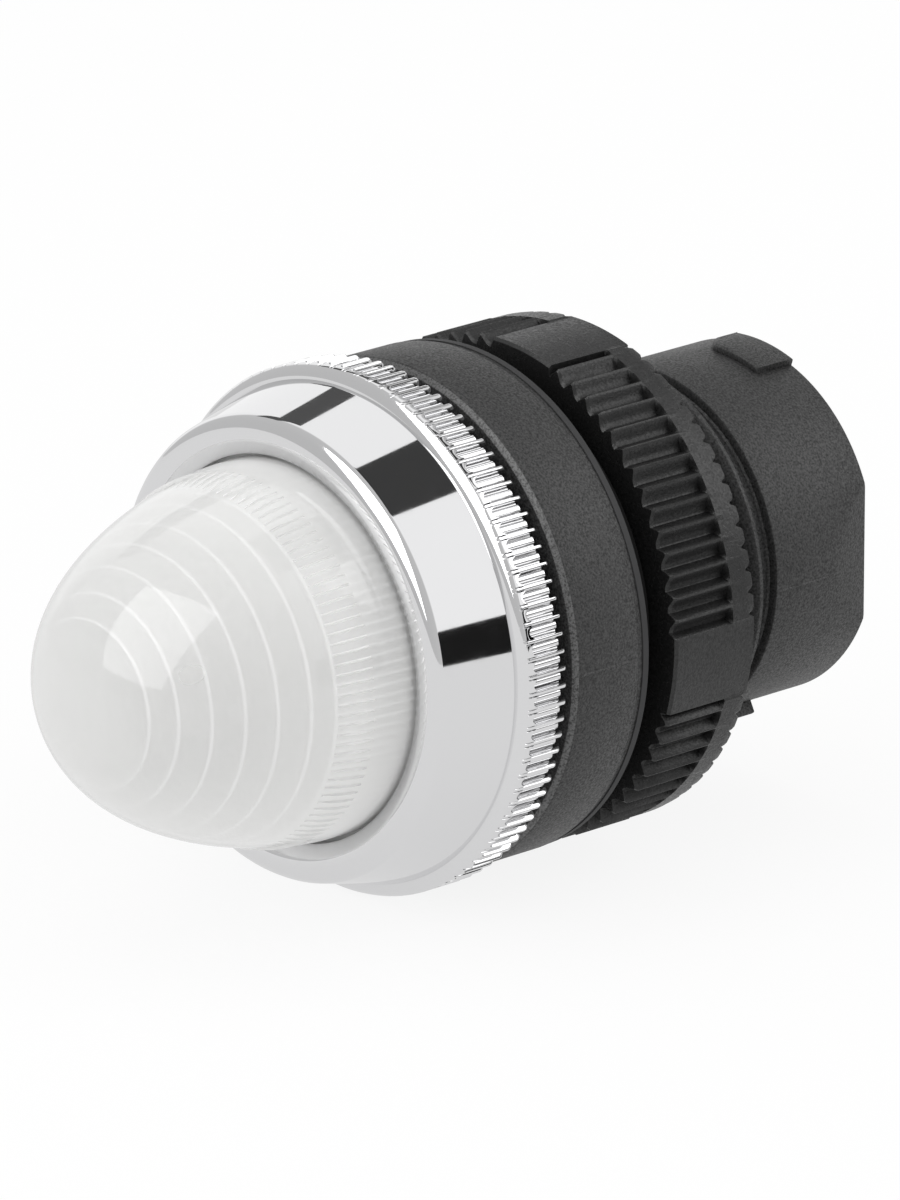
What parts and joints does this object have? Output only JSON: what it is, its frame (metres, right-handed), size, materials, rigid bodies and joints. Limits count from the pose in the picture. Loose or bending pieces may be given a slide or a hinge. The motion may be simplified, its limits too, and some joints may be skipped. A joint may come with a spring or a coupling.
{
  "type": "panel pilot light",
  "caption": "Panel pilot light with a milky domed lens, knurled chrome bezel, black threaded neck, serrated lock nut and bayonet rear sleeve, with its lamp and socket inside.",
  "frame": {"origin": "centre of the seat that rests on the panel's front face", "axes": "+Y along the light's axis towards its rear, -Y towards the lens, +Z towards the upper mounting lug, +X to the right seen from the lens"},
  "size_m": [0.0298, 0.0507, 0.0298],
  "materials": {
    "lens_plastic": "gloss",
    "chrome_plating": "polished",
    "black_moulding": "matte",
    "seal_rubber": "matte",
    "nut_moulding": "satin",
    "lamp_envelope": "gloss",
    "led_package": "gloss",
    "board": "matte",
    "plated_brass": "satin",
    "cap_insulator": "gloss",
    "tinned_contact": "satin",
    "carrier_moulding": "matte",
    "bare_brass": "satin",
    "spring_steel": "satin",
    "zinc_plated_steel": "satin"
  },
  "bodies": {
    "head": {"housing": "black_moulding", "panel_gasket": "seal_rubber", "lens_seal": "seal_rubber", "socket_carrier": "carrier_moulding", "socket_shell": "plated_brass", "centre_terminal": "bare_brass", "shell_terminal": "bare_brass", "terminal_clamps": "zinc_plated_steel", "terminal_screws": "zinc_plated_steel", "contact_spring": "spring_steel"},
    "front_lens": {"lens": "lens_plastic"},
    "front_bezel": {"bezel": "chrome_plating"},
    "washer": {"thrust_washer": "black_moulding"},
    "nut": {"lock_nut": "nut_moulding"},
    "contact": {"contact_plunger": "bare_brass"},
    "lamp": {"lamp_bulb": "lamp_envelope", "lamp_leds": "led_package", "lamp_board": "board", "lamp_cap": "plated_brass", "lamp_insulator": "cap_insulator", "lamp_tip": "tinned_contact"}
  },
  "joints": [
    {"name": "nut_travel", "type": "slide", "parent": "head", "child": "washer", "axis": [0, 1, 0], "range_m": [-0.0005, 0.0102]},
    {"name": "nut_turn", "type": "hinge", "parent": "washer", "child": "nut", "pos_m": [0, 0.006, 0], "axis": [0, 1, 0], "range_deg": [-120, 2448]},
    {"name": "bezel_travel", "type": "slide", "parent": "head", "child": "front_lens", "axis": [0, -1, 0], "range_m": [0, 0.005]},
    {"name": "bezel_turn", "type": "hinge", "parent": "front_lens", "child": "front_bezel", "pos_m": [0, -0.01, 0], "axis": [0, -1, 0], "range_deg": [0, 1440]},
    {"name": "lamp_push", "type": "slide", "parent": "head", "child": "contact", "axis": [0, 1, 0], "range_m": [0, 0.0014], "stiffness_N_per_m": 2500, "springref_m": -0.001, "deforming": ["contact_spring"]},
    {"name": "lamp_twist", "type": "hinge", "parent": "contact", "child": "lamp", "pos_m": [0, 0.0054, 0], "axis": [0, -1, 0], "range_deg": [0, 30]}
  ],
  "couplings": [
    {"joint": "nut_travel", "follows": "nut_turn", "m_per_rad": 0.00023873},
    {"joint": "bezel_travel", "follows": "bezel_turn", "m_per_rad": 0.00019894},
    {"joint": "lamp_twist", "follows": "lamp_push", "rad_per_m": 374}
  ]
}
